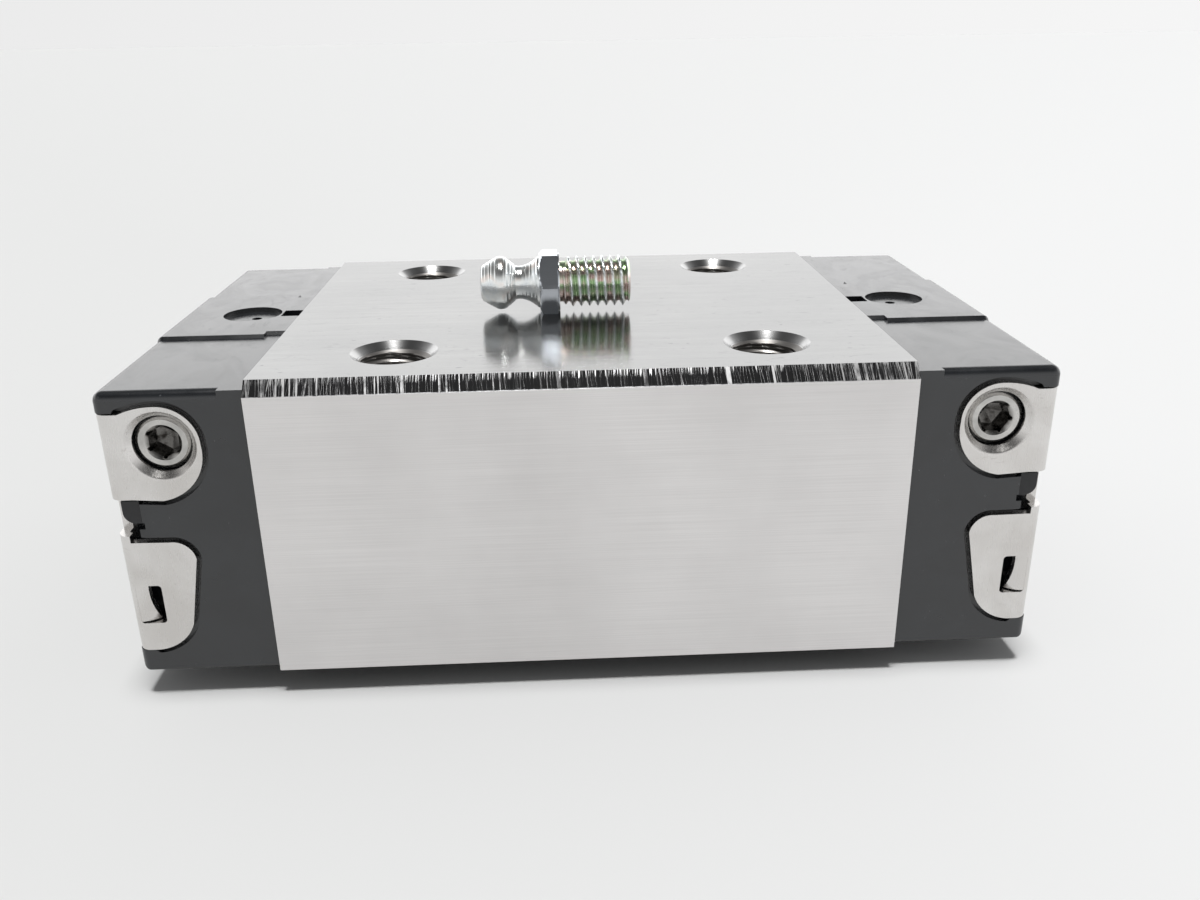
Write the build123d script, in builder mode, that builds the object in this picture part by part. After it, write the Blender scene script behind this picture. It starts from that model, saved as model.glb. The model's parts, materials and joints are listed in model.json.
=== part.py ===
from build123d import *
import math
import os

os.makedirs("parts", exist_ok=True)

# Linear guide carriage, size 30 slimline, millimetres.
# X runs along the rail, Y across it, Z up; z = 0 is the plane of the carriage's lowest strips.

# --- driving dimensions ------------------------------------------------------------------------
STEEL_LENGTH = 67.4
CARRIAGE_WIDTH = 60.0
CARRIAGE_TOP = 35.35
STEEL_BOTTOM = 2.75
EDGE_CHAMFER = 1.44
BOLT_SPACING = 40.0
BOLT_RADIUS = 4.0
BOLT_DEPTH = 11.4
BOLT_MOUTH = 0.7

RAIL_WIDTH = 28.0
RAIL_TOP = 21.9
RAIL_WAIST = 22.4
RAIL_BEVEL = 0.7
CAVITY_TOP = 22.9
CAVITY_HALF = 18.2

BALL_DIAMETER = 4.762
BALL_PITCH = 5.0
ROW_BALLS = 14
TURN_BALLS = 3
LOADED_Y = 14.0
UPPER_Z = 16.2
LOWER_Z = 6.6
UPPER_TILT = 20.0
LOWER_TILT = 10.0
GROOVE_RADIUS = 2.47
CHANNEL_RADIUS = 2.6
TUBE_RADIUS = 3.3

INSERT_NOSE_Y = 11.9
INSERT_MOUTH_Y = 13.2
INSERT_BACK_Y = 16.0
INSERT_BOTTOM = 5.2
INSERT_TOP = 17.6
RETAINER_LIP_Y = 14.4
LIP_Z = 1.5
SEAL_Y = 15.7
SEAL_EDGE_Y = 14.08
STRIP_Y = 21.0

PLATE_THICKNESS = 2.6
CAP_OUTER_X = 48.6
CAP_HALF_WIDTH = 29.3
CAP_BOTTOM = 3.0
CAP_TOP = 34.55
CAP_CROWN = 34.92
CAP_CROWN_HALF = 9.7
PLATE_CROWN_HALF = 8.4

SHEET = 1.0
BEND_RADIUS = 1.4
EAR_DEPTH = 2.3
TAB_FACE_Y = 29.5
TAB_ROOT_X = 46.2
PLATE_LOW = 5.6
PLATE_HIGH = 32.35
NOTCH_LOW = 19.1
NOTCH_HIGH = 23.2
LOWER_TAB_HIGH = 18.35
PLATE_FIT = 0.1
PORT_X = 42.5
PORT_Z = 29.0
THREAD_RADIUS = 3.0
PORT_DISH_RADIUS = 3.65
PORT_DEPTH = 7.5
GALLERY_RADIUS = 1.25
DUCT_Y = 18.0
DUCT_RADIUS = 0.8
SLOT_X = 46.33
SLOT_Z = 11.1
SLOT_WIDTH = 2.75
SLOT_HEIGHT = 4.45
TONGUE_RADIUS = 2.6
TONGUE_SWEEP = 52
TONGUE_SHEET = 0.6
TOP_PORT_X = 40.0
TOP_PORT_RADIUS = 3.5
TOP_PORT_DEPTH = 0.6

SEAL_INNER_X = 45.75
SEAL_HALF = 25.0
SEAL_CENTRE_Z = 14.2
SEAL_HEIGHT = 19.2
LUG_Z = 21.7
LUG_HEIGHT = 2.5

PAD_Y = 20.0
PAD_Z = 24.5
PAD_WIDTH = 10.0
PAD_HEIGHT = 2.4
PAD_LENGTH = 6.9

SCREW_Y = 11.0
SCREW_Z = 25.6
SCREW_RADIUS = 1.5
SCREW_HEAD_X = 48.85
SCREW_HEAD_RADIUS = 2.55
SCREW_IN_STEEL = 7.5

NIPPLE_Y = -3.5
NIPPLE_FLATS = 7.0
NIPPLE_TIP_X = -11.46
HEX_START_X = -4.5
HEX_END_X = -2.1
NIPPLE_END_X = 6.29
SEAT_X = -10.3
SPRING_SEAT_X = -2.4
NIPPLE_BORE = 1.2
CHECK_BALL_RADIUS = 1.0
SPRING_WIRE = 0.15
SPRING_TURNS = 6
SPRING_COIL_RADIUS = 0.85

GAP = 0.05

# --- worked out from them ----------------------------------------------------------------------
STEEL_HALF = STEEL_LENGTH / 2
HALF_WIDTH = CARRIAGE_WIDTH / 2
BALL_RADIUS = BALL_DIAMETER / 2
TURN_RADIUS = TURN_BALLS * BALL_PITCH / math.pi
TURN_X = ROW_BALLS * BALL_PITCH / 2
PLATE_OUTER_X = STEEL_HALF + PLATE_THICKNESS
SHEET_INNER_X = CAP_OUTER_X - SHEET
SEAL_OUTER_X = SHEET_INNER_X - GAP
CHECK_BALL_X = SEAT_X + 0.5 + 0.75
SPRING_START_X = CHECK_BALL_X + 0.95
NIPPLE_Z = CARRIAGE_TOP + NIPPLE_FLATS / 2

CIRCUITS = {"upper": (UPPER_Z, UPPER_TILT), "lower": (LOWER_Z, LOWER_TILT)}


def write(name, part):
    """Name one finished piece and write it."""
    part.label = name
    export_step(part, f"parts/{name}.step")


def write_both_ends(name, part):
    """The right-hand piece, and the same piece turned half round for the left end."""
    write(f"{name}_right", part)
    write(f"{name}_left", part.rotate(Axis.Z, 180))


def write_both_sides(name, part, ending=""):
    """The rear piece (+Y), and its mirror image for the front (-Y)."""
    write(f"{name}_rear{ending}", part)
    write(f"{name}_front{ending}", part.mirror(Plane.XZ))


def end_plane(x):
    """Cross-section plane at x: its own x runs along +Y and its own y along +Z."""
    return Plane(origin=(x, 0, 0), x_dir=(0, 1, 0), z_dir=(1, 0, 0))


def side_plane(y):
    """Plane parallel to the side faces: its own x runs along +X, its own y along +Z."""
    return Plane(origin=(0, y, 0), x_dir=(1, 0, 0), z_dir=(0, -1, 0))


def along(tilt, distance):
    """A step of that length out from the rail, in the plane of a circuit."""
    return distance * math.cos(math.radians(tilt)), distance * math.sin(math.radians(tilt))


def return_centre(row):
    """Place of a circuit's return bore in the cross-section, on the rear side."""
    z, tilt = CIRCUITS[row]
    dy, dz = along(tilt, 2 * TURN_RADIUS)
    return LOADED_Y + dy, z + dz


def turn_plane(row, side):
    """Plane of a circuit at its right-hand turn: own x along +X, own y out from the rail."""
    z, tilt = CIRCUITS[row]
    dy, dz = along(tilt, TURN_RADIUS)
    origin = (TURN_X, side * (LOADED_Y + dy), z + dz)
    outward = Vector(0, side * dy, dz).normalized()
    return Plane(origin=origin, x_dir=(1, 0, 0), z_dir=Vector(1, 0, 0).cross(outward))


def groove_point(angle):
    """A point on the rail's lower groove, so many degrees below the level of its centre."""
    turn = math.radians(angle)
    return LOADED_Y - GROOVE_RADIUS * math.cos(turn), LOWER_Z - GROOVE_RADIUS * math.sin(turn)


def rail_outline(clearance):
    """The rail's cross-section, grown by a clearance."""
    lower_groove = ((LOADED_Y, LOWER_Z - GROOVE_RADIUS), groove_point(45), groove_point(10))
    low_start, low_middle, low_end = lower_groove
    high_end, high_middle, high_start = ((y, UPPER_Z + LOWER_Z - z) for y, z in lower_groove)
    half_head = RAIL_WIDTH / 2
    waist = RAIL_WAIST / 2
    with BuildSketch(mode=Mode.PRIVATE) as rail:
        with BuildLine():
            Polyline((0, -8), (half_head, -8), low_start)
            ThreePointArc(low_start, low_middle, low_end)
            Polyline(low_end, (waist, LOWER_Z + 1.4), (waist, UPPER_Z - 1.4), high_start)
            ThreePointArc(high_start, high_middle, high_end)
            Polyline(high_end, (half_head, RAIL_TOP - RAIL_BEVEL), (half_head - RAIL_BEVEL, RAIL_TOP),
                     (0, RAIL_TOP), (0, -8))
        make_face()
        mirror(about=Plane.YZ)
        offset(amount=clearance, kind=Kind.INTERSECTION)
    return rail.sketch


def cap_outline(crown_half):
    """Outer shape of an end cap seen along the rail, with its raised middle."""
    with BuildSketch(mode=Mode.PRIVATE) as face:
        with BuildLine():
            Polyline((-CAP_HALF_WIDTH, CAP_BOTTOM), (CAP_HALF_WIDTH, CAP_BOTTOM), (CAP_HALF_WIDTH, CAP_TOP),
                     (crown_half + 0.4, CAP_TOP), (crown_half, CAP_CROWN), (-crown_half, CAP_CROWN),
                     (-crown_half - 0.4, CAP_TOP), (-CAP_HALF_WIDTH, CAP_TOP), close=True)
        make_face()
    return face.sketch


def screw_points():
    return [(-SCREW_Y, SCREW_Z), (SCREW_Y, SCREW_Z)]


# --- steel runner body -------------------------------------------------------------------------
with BuildPart() as runner_body:
    with BuildSketch(end_plane(-STEEL_HALF)):
        with BuildLine():
            Polyline((-HALF_WIDTH, STEEL_BOTTOM), (-CAVITY_HALF, STEEL_BOTTOM), (-CAVITY_HALF, CAVITY_TOP),
                     (CAVITY_HALF, CAVITY_TOP), (CAVITY_HALF, STEEL_BOTTOM), (HALF_WIDTH, STEEL_BOTTOM),
                     (HALF_WIDTH, CARRIAGE_TOP - EDGE_CHAMFER), (HALF_WIDTH - EDGE_CHAMFER, CARRIAGE_TOP),
                     (EDGE_CHAMFER - HALF_WIDTH, CARRIAGE_TOP), (-HALF_WIDTH, CARRIAGE_TOP - EDGE_CHAMFER),
                     close=True)
        make_face()
        for row in CIRCUITS:
            y, z = return_centre(row)
            with Locations((y, z), (-y, z)):
                Circle(TUBE_RADIUS + GAP, mode=Mode.SUBTRACT)
    extrude(amount=STEEL_LENGTH)
    with BuildSketch(Plane.XY.offset(CARRIAGE_TOP)):
        with GridLocations(BOLT_SPACING, BOLT_SPACING, 2, 2):
            Circle(BOLT_RADIUS)
    extrude(amount=-BOLT_DEPTH, mode=Mode.SUBTRACT)
    with Locations((0, 0, CARRIAGE_TOP - BOLT_MOUTH / 2)):
        with GridLocations(BOLT_SPACING, BOLT_SPACING, 2, 2):
            Cone(BOLT_RADIUS, BOLT_RADIUS + BOLT_MOUTH, BOLT_MOUTH, mode=Mode.SUBTRACT)
    for end in (-1, 1):
        with BuildSketch(end_plane(end * STEEL_HALF)):
            with Locations(*screw_points()):
                Circle(SCREW_RADIUS + GAP)
        extrude(amount=-end * (SCREW_IN_STEEL + 0.5), mode=Mode.SUBTRACT)
write("runner_body", runner_body.part)

# --- hardened raceway inserts, ball retainers and side seals, one set each side of the rail ----
with BuildPart() as raceway_insert:
    with BuildSketch(end_plane(-STEEL_HALF)):
        with BuildLine():
            Polyline((INSERT_NOSE_Y, LOWER_Z + 3.0), (INSERT_NOSE_Y, UPPER_Z - 3.0),
                     (INSERT_MOUTH_Y, UPPER_Z - 1.8), (LOADED_Y, UPPER_Z), (INSERT_BACK_Y, INSERT_TOP),
                     (CAVITY_HALF, INSERT_TOP), (CAVITY_HALF, INSERT_BOTTOM), (INSERT_BACK_Y, INSERT_BOTTOM),
                     (LOADED_Y, LOWER_Z), (INSERT_MOUTH_Y, LOWER_Z + 1.8), close=True)
        make_face()
        with Locations((LOADED_Y, UPPER_Z), (LOADED_Y, LOWER_Z)):
            Circle(GROOVE_RADIUS, mode=Mode.SUBTRACT)
    extrude(amount=STEEL_LENGTH)
write_both_sides("raceway_insert", raceway_insert.part)

with BuildPart() as upper_retainer:
    with BuildSketch(end_plane(-STEEL_HALF)):
        with BuildLine():
            Polyline((RETAINER_LIP_Y, INSERT_TOP + 0.4), (RETAINER_LIP_Y, CAVITY_TOP),
                     (CAVITY_HALF, CAVITY_TOP), (CAVITY_HALF, INSERT_TOP + GAP),
                     (INSERT_BACK_Y, INSERT_TOP + GAP), close=True)
        make_face()
        with Locations((LOADED_Y, UPPER_Z)):
            Circle(CHANNEL_RADIUS, mode=Mode.SUBTRACT)
    extrude(amount=STEEL_LENGTH)
write_both_sides("upper_ball_retainer", upper_retainer.part)

with BuildPart() as lower_retainer:
    with BuildSketch(end_plane(-STEEL_HALF)):
        with BuildLine():
            Polyline((SEAL_Y, 0), (STRIP_Y, 0), (STRIP_Y, STEEL_BOTTOM), (CAVITY_HALF, STEEL_BOTTOM),
                     (CAVITY_HALF, INSERT_BOTTOM - GAP), (INSERT_BACK_Y, INSERT_BOTTOM - GAP),
                     (RETAINER_LIP_Y, INSERT_BOTTOM + 0.2), (RETAINER_LIP_Y, LIP_Z), (SEAL_Y, LIP_Z),
                     close=True)
        make_face()
        with Locations((LOADED_Y, LOWER_Z)):
            Circle(CHANNEL_RADIUS, mode=Mode.SUBTRACT)
    extrude(amount=STEEL_LENGTH)
write_both_sides("lower_ball_retainer", lower_retainer.part)

with BuildPart() as side_seal:
    with BuildSketch(end_plane(-STEEL_HALF)):
        with BuildLine():
            Polyline((SEAL_Y - GAP, 0), (SEAL_Y - GAP, LIP_Z - GAP), (RETAINER_LIP_Y, LIP_Z - GAP),
                     (SEAL_EDGE_Y, 0.5), (SEAL_EDGE_Y, 0.3), (RETAINER_LIP_Y + 0.2, 0), close=True)
        make_face()
    extrude(amount=STEEL_LENGTH)
write_both_sides("side_seal", side_seal.part)

# --- return tubes ------------------------------------------------------------------------------
for row in CIRCUITS:
    with BuildPart() as return_tube:
        with BuildSketch(end_plane(-STEEL_HALF)):
            with Locations(return_centre(row)):
                Circle(TUBE_RADIUS)
                Circle(CHANNEL_RADIUS, mode=Mode.SUBTRACT)
        extrude(amount=STEEL_LENGTH)
    write_both_sides("return_tube", return_tube.part, f"_{row}")

# --- balls: every circuit is a loaded row, a return row and a half turn at each end ------------
row_places = [(i - (ROW_BALLS - 1) / 2) * BALL_PITCH for i in range(ROW_BALLS)]
turn_step = 180 / TURN_BALLS
turn_angles = [math.radians((i - (TURN_BALLS - 1) / 2) * turn_step) for i in range(TURN_BALLS)]
for row in CIRCUITS:
    centres = {"loaded": (LOADED_Y, CIRCUITS[row][0]), "return": return_centre(row)}
    for run in centres:
        y, z = centres[run]
        with BuildPart() as ball_row:
            with Locations(*[(x, y, z) for x in row_places]):
                Sphere(BALL_RADIUS)
        write_both_sides(f"{run}_balls", ball_row.part, f"_{row}")
    with BuildPart() as turn_balls:
        with Locations(turn_plane(row, 1)):
            with Locations(*[(TURN_RADIUS * math.cos(a), TURN_RADIUS * math.sin(a)) for a in turn_angles]):
                Sphere(BALL_RADIUS)
    write_both_sides("turn_balls", turn_balls.part, f"_{row}_right")
    write_both_sides("turn_balls", turn_balls.part.mirror(Plane.YZ), f"_{row}_left")

# --- return plates: thin plates between the steel and the caps ---------------------------------
with BuildPart() as return_plate:
    with BuildSketch(end_plane(STEEL_HALF)):
        add(cap_outline(PLATE_CROWN_HALF))
        add(rail_outline(0.6), mode=Mode.SUBTRACT)
        for row in CIRCUITS:
            z, tilt = CIRCUITS[row]
            dy, dz = along(tilt, TURN_RADIUS)
            for side in (-1, 1):
                with Locations((side * (LOADED_Y + dy), z + dz)):
                    SlotCenterToCenter(2 * TURN_RADIUS, 2 * CHANNEL_RADIUS, rotation=side * tilt,
                                       mode=Mode.SUBTRACT)
        with Locations(*screw_points()):
            Circle(SCREW_RADIUS + 0.1, mode=Mode.SUBTRACT)
        with Locations((0, CAP_CROWN)):
            Rectangle(2.8, 1.6, mode=Mode.SUBTRACT)
    extrude(amount=PLATE_THICKNESS)
write_both_ends("return_plate", return_plate.part)

# --- inner guides of the ball turns ------------------------------------------------------------
def turn_guide(plane):
    """Inner guide of one ball turn: a grooved half disc with a short tail towards the steel."""
    radius = TURN_RADIUS - 0.1
    tail = TURN_X - STEEL_HALF - GAP
    with BuildPart(plane) as guide:
        with BuildSketch(plane):
            Circle(radius)
            Rectangle(20, 20, align=(Align.MAX, Align.CENTER), mode=Mode.SUBTRACT)
            Rectangle(tail, 2 * radius, align=(Align.MAX, Align.CENTER))
        extrude(amount=CHANNEL_RADIUS - 0.1, both=True)
        Torus(TURN_RADIUS, CHANNEL_RADIUS + GAP, mode=Mode.SUBTRACT)
        with Locations((-tail / 2, TURN_RADIUS), (-tail / 2, -TURN_RADIUS)):
            Cylinder(CHANNEL_RADIUS + GAP, tail + 0.5, rotation=(0, 90, 0), mode=Mode.SUBTRACT)
    return guide.part


guides = [turn_guide(turn_plane(row, side)) for side in (-1, 1) for row in CIRCUITS]
with BuildPart() as turn_guides:
    for guide in guides:
        add(guide)
write_both_ends("turn_guides", turn_guides.part)


# --- stainless end plates with two bent tabs on each side --------------------------------------
def upper_tab(grow=0.0):
    """Rounded upper tab seen from the side, round the lubrication port."""
    with BuildSketch(mode=Mode.PRIVATE) as tab:
        with BuildLine():
            Line((TAB_ROOT_X, NOTCH_HIGH), (43.1, 23.0))
            ThreePointArc((43.1, 23.0), (39.75, 24.85), (38.5, 29.0))
            ThreePointArc((38.5, 29.0), (39.6, 31.85), (42.6, 33.1))
            ThreePointArc((42.6, 33.1), (44.5, 32.9), (TAB_ROOT_X, PLATE_HIGH))
            Line((TAB_ROOT_X, PLATE_HIGH), (TAB_ROOT_X, NOTCH_HIGH))
        make_face()
        if grow:
            offset(amount=grow)
    return tab.sketch


def lower_tab(grow=0.0):
    """Leaning lower tab seen from the side."""
    with BuildSketch(mode=Mode.PRIVATE) as tab:
        with BuildLine():
            Line((TAB_ROOT_X, LOWER_TAB_HIGH), (43.3, 18.3))
            ThreePointArc((43.3, 18.3), (41.55, 17.75), (40.8, 16.3))
            Line((40.8, 16.3), (42.25, 8.6))
            ThreePointArc((42.25, 8.6), (43.7, 6.6), (TAB_ROOT_X, PLATE_LOW))
            Line((TAB_ROOT_X, PLATE_LOW), (TAB_ROOT_X, LOWER_TAB_HIGH))
        make_face()
        if grow:
            offset(amount=grow)
    return tab.sketch


def tongue_shape():
    """Side view of the tongue in the slot: its free edge runs down and away from the bend."""
    low, high = SLOT_Z - SLOT_HEIGHT / 2 + 0.15, SLOT_Z + SLOT_HEIGHT / 2 - 0.05
    with BuildSketch(mode=Mode.PRIVATE) as shape:
        with BuildLine():
            ThreePointArc((46.45, high), (46.42, SLOT_Z + 0.3), (45.8, low))
            Polyline((45.8, low), (CAP_OUTER_X, low), (CAP_OUTER_X, high), (46.45, high))
        make_face()
    return shape.sketch


EARS = ((NOTCH_HIGH, PLATE_HIGH), (PLATE_LOW, NOTCH_LOW))
TAB_SPANS = ((NOTCH_HIGH, PLATE_HIGH), (PLATE_LOW, LOWER_TAB_HIGH))
PLATE_MIDDLE = (PLATE_LOW + PLATE_HIGH) / 2
NOTCH_MIDDLE = (NOTCH_LOW + NOTCH_HIGH) / 2
BEND_X = CAP_OUTER_X - BEND_RADIUS
BEND_Y = TAB_FACE_Y - BEND_RADIUS


def tongue(side):
    """Tongue bent inwards from the outer side of the slot, trimmed to its side view."""
    root_x = SLOT_X + SLOT_WIDTH / 2 + GAP
    root_y = BEND_Y + math.sqrt(BEND_RADIUS**2 - (root_x - BEND_X) ** 2)
    with BuildPart() as bent:
        with BuildSketch(Plane.XY.offset(SLOT_Z - SLOT_HEIGHT / 2)):
            with BuildLine():
                centre = (root_x, side * (root_y - TONGUE_RADIUS))
                outer = CenterArc(centre, TONGUE_RADIUS, side * 90, side * TONGUE_SWEEP)
                inner = CenterArc(centre, TONGUE_RADIUS - TONGUE_SHEET, side * 90, side * TONGUE_SWEEP)
                Line(outer @ 0, inner @ 0)
                Line(outer @ 1, inner @ 1)
            make_face()
        extrude(amount=SLOT_HEIGHT)
        with BuildSketch(side_plane(side * (TAB_FACE_Y + 1))):
            add(tongue_shape())
        extrude(amount=side * 4, mode=Mode.INTERSECT)
    return bent.part


tongues = [tongue(side) for side in (-1, 1)]
with BuildPart() as end_plate:
    with BuildSketch(end_plane(SHEET_INNER_X)):
        with Locations((0, PLATE_MIDDLE)):
            Rectangle(2 * BEND_Y, PLATE_HIGH - PLATE_LOW)
        with Locations((BEND_Y, NOTCH_MIDDLE), (-BEND_Y, NOTCH_MIDDLE)):
            Rectangle(2 * (EAR_DEPTH - BEND_RADIUS), NOTCH_HIGH - NOTCH_LOW, mode=Mode.SUBTRACT)
        add(rail_outline(0.9), mode=Mode.SUBTRACT)
        with Locations(*screw_points()):
            Circle(SCREW_RADIUS + 0.15, mode=Mode.SUBTRACT)
        with Locations((0, PORT_Z)):
            Circle(PORT_DISH_RADIUS, mode=Mode.SUBTRACT)
    extrude(amount=SHEET)
    with Locations(*[end_plane(CAP_OUTER_X - SHEET / 2) * Pos(y, z) for y, z in screw_points()]):
        Cone(SCREW_RADIUS + 0.15, SCREW_HEAD_RADIUS + 0.05, SHEET, mode=Mode.SUBTRACT)
    for side in (-1, 1):
        # quarter-round bends, then the tabs themselves
        for low, high in EARS:
            with BuildSketch(Plane.XY.offset(low)):
                with BuildLine():
                    outer = CenterArc((BEND_X, side * BEND_Y), BEND_RADIUS, 0, side * 90)
                    inner = CenterArc((BEND_X, side * BEND_Y), BEND_RADIUS - SHEET, 0, side * 90)
                    Line(outer @ 0, inner @ 0)
                    Line(outer @ 1, inner @ 1)
                make_face()
            extrude(amount=high - low)
        with BuildSketch(side_plane(side * TAB_FACE_Y)):
            add(upper_tab())
            add(lower_tab())
            for low, high in TAB_SPANS:
                with Locations((TAB_ROOT_X, low)):
                    Rectangle(BEND_X - TAB_ROOT_X, high - low, align=(Align.MIN, Align.MIN))
        extrude(amount=side * SHEET)
        with BuildSketch(side_plane(side * TAB_FACE_Y)):
            with Locations((PORT_X, PORT_Z)):
                Circle(THREAD_RADIUS)
            with Locations((SLOT_X, SLOT_Z)):
                RectangleRounded(SLOT_WIDTH, SLOT_HEIGHT, 0.4)
        extrude(amount=side * 3 * SHEET, both=True, mode=Mode.SUBTRACT)
        dish = Plane(origin=(PORT_X, side * TAB_FACE_Y, PORT_Z), x_dir=(1, 0, 0), z_dir=(0, side, 0))
        with Locations(dish.offset(-0.35)):
            Cone(THREAD_RADIUS, PORT_DISH_RADIUS, 0.7, mode=Mode.SUBTRACT)
        dish_rim = (
            end_plate.edges()
            .filter_by(GeomType.CIRCLE)
            .filter_by(lambda edge: abs(edge.radius - PORT_DISH_RADIUS) < 0.01)
            .filter_by_position(Axis.Y, side * TAB_FACE_Y - 0.01, side * TAB_FACE_Y + 0.01)
        )
        fillet(dish_rim, 0.35)
    for piece in tongues:
        add(piece)
write_both_ends("end_plate", end_plate.part)

# --- wiper seals behind the end plates, each with a lug in the gap between the tabs ------------
with BuildPart() as seal_plate:
    with BuildSketch(end_plane(SEAL_INNER_X)):
        with Locations((0, SEAL_CENTRE_Z)):
            Rectangle(2 * SEAL_HALF, SEAL_HEIGHT)
        with Locations((0, LUG_Z)):
            Rectangle(2 * (CAP_HALF_WIDTH - 0.1), LUG_HEIGHT)
        add(rail_outline(0.1), mode=Mode.SUBTRACT)
    extrude(amount=SEAL_OUTER_X - SEAL_INNER_X)
    for side in (-1, 1):
        lug_corners = (
            seal_plate.edges()
            .filter_by(Axis.Y)
            .filter_by_position(Axis.X, SEAL_OUTER_X - 0.01, SEAL_OUTER_X + 0.01)
            .filter_by_position(Axis.Z, LUG_Z - LUG_HEIGHT / 2 - 0.01, LUG_Z - LUG_HEIGHT / 2 + 0.01)
        )
        far = [edge for edge in lug_corners if side * edge.center().Y > SEAL_HALF]
        fillet(far, 1.2)
write_both_ends("seal_plate", seal_plate.part)

# --- moulded end caps --------------------------------------------------------------------------
with BuildPart() as end_cap:
    with BuildSketch(end_plane(PLATE_OUTER_X)):
        add(cap_outline(CAP_CROWN_HALF))
    extrude(amount=CAP_OUTER_X - PLATE_OUTER_X)
    top_corners = (
        end_cap.edges()
        .filter_by(Axis.X)
        .filter_by_position(Axis.Z, CAP_TOP - 0.01, CAP_TOP + 0.01)
        .filter_by(lambda edge: abs(edge.center().Y) > CAP_HALF_WIDTH - 0.1)
    )
    fillet(top_corners, 1.0)
    outer_rim = end_cap.faces().sort_by(Axis.X)[-1].edges()
    fillet(outer_rim, 0.9)
    with BuildSketch(end_plane(PLATE_OUTER_X)):
        add(rail_outline(0.6))
    extrude(amount=CAP_OUTER_X - PLATE_OUTER_X, mode=Mode.SUBTRACT)
    # recess for the stainless plate, then the deeper one for the wiper behind it
    with BuildSketch(end_plane(SHEET_INNER_X)):
        with Locations((0, PLATE_MIDDLE)):
            Rectangle(2 * CAP_HALF_WIDTH + 2, PLATE_HIGH - PLATE_LOW + 2 * PLATE_FIT)
    extrude(amount=2 * SHEET, mode=Mode.SUBTRACT)
    with BuildSketch(end_plane(SEAL_INNER_X - GAP)):
        with Locations((0, SEAL_CENTRE_Z)):
            Rectangle(2 * (SEAL_HALF + GAP), SEAL_HEIGHT + 2 * GAP)
        with Locations((0, LUG_Z)):
            Rectangle(2 * CAP_HALF_WIDTH + 2, LUG_HEIGHT + 2 * GAP)
    extrude(amount=2 * SHEET + 1, mode=Mode.SUBTRACT)
    # corner relief beside the gap between the tabs
    for side in (-1, 1):
        with BuildSketch(side_plane(side * (CAP_HALF_WIDTH + 1))):
            with Locations((SEAL_INNER_X + 0.35, NOTCH_LOW + 0.4)):
                Rectangle(3, 2.2, align=(Align.MIN, Align.CENTER))
            with Locations((SEAL_INNER_X - 0.25, NOTCH_LOW + 1.05)):
                Rectangle(3, 0.7, align=(Align.MIN, Align.CENTER))
        extrude(amount=side * (1 + EAR_DEPTH), mode=Mode.SUBTRACT)
        # pockets that the tabs lie in, a little wider than the tabs towards the steel
        for tab in (upper_tab(0.55), lower_tab(0.5)):
            with BuildSketch(side_plane(side * (CAP_HALF_WIDTH + 1))):
                add(tab)
            extrude(amount=side * (1 + CAP_HALF_WIDTH - TAB_FACE_Y + SHEET + GAP), mode=Mode.SUBTRACT)
        with BuildSketch(side_plane(side * (CAP_HALF_WIDTH + 1))):
            for low, high in ((PLATE_LOW, LOWER_TAB_HIGH + 0.45), (NOTCH_HIGH - 0.2, PLATE_HIGH)):
                with Locations((TAB_ROOT_X - 0.2, low - PLATE_FIT)):
                    Rectangle(CAP_OUTER_X - TAB_ROOT_X + 0.3, high - low + 2 * PLATE_FIT,
                              align=(Align.MIN, Align.MIN))
        extrude(amount=side * (1 + CAP_HALF_WIDTH - TAB_FACE_Y + BEND_RADIUS), mode=Mode.SUBTRACT)
        # deeper pocket behind the slot of the lower tab
        with BuildSketch(side_plane(side * (CAP_HALF_WIDTH + 1))):
            with Locations((SLOT_X, SLOT_Z)):
                Rectangle(SLOT_WIDTH + 0.6, SLOT_HEIGHT + 0.4)
        extrude(amount=side * (1 + CAP_HALF_WIDTH - TAB_FACE_Y + 2.6), mode=Mode.SUBTRACT)
        # side lubrication port
        port = Plane(origin=(PORT_X, side * TAB_FACE_Y, PORT_Z), x_dir=(1, 0, 0), z_dir=(0, side, 0))
        with Locations(port.offset(-PORT_DEPTH)):
            Cylinder(THREAD_RADIUS, PORT_DEPTH, align=(Align.CENTER, Align.CENTER, Align.MIN),
                     mode=Mode.SUBTRACT)
    # lubrication gallery, end port, oil pad ducts and screw holes
    gallery = Plane(origin=(PORT_X, 0, PORT_Z), x_dir=(1, 0, 0), z_dir=(0, 1, 0))
    with Locations(gallery):
        Cylinder(GALLERY_RADIUS, 2 * (TAB_FACE_Y - PORT_DEPTH + 0.5), mode=Mode.SUBTRACT)
    with BuildSketch(end_plane(PORT_X)):
        with Locations((0, PORT_Z)):
            Circle(THREAD_RADIUS)
    extrude(amount=CAP_OUTER_X - PORT_X, mode=Mode.SUBTRACT)
    with BuildSketch(Plane.XY.offset(PAD_Z)):
        with Locations((PORT_X, DUCT_Y), (PORT_X, -DUCT_Y)):
            Circle(DUCT_RADIUS)
    extrude(amount=PORT_Z - PAD_Z, mode=Mode.SUBTRACT)
    with BuildSketch(end_plane(PLATE_OUTER_X)):
        with Locations((PAD_Y, PAD_Z), (-PAD_Y, PAD_Z)):
            Rectangle(PAD_WIDTH + 2 * GAP, PAD_HEIGHT + 2 * GAP)
    extrude(amount=PAD_LENGTH + 2 * GAP, mode=Mode.SUBTRACT)
    with BuildSketch(end_plane(PLATE_OUTER_X)):
        with Locations(*screw_points()):
            Circle(SCREW_RADIUS + 0.1)
    extrude(amount=CAP_OUTER_X - PLATE_OUTER_X, mode=Mode.SUBTRACT)
    # ball turns with room for their inner guides
    for side in (-1, 1):
        for row in CIRCUITS:
            with Locations(turn_plane(row, side)):
                Torus(TURN_RADIUS, CHANNEL_RADIUS, mode=Mode.SUBTRACT)
                Cylinder(TURN_RADIUS, 2 * CHANNEL_RADIUS, mode=Mode.SUBTRACT)
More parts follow.
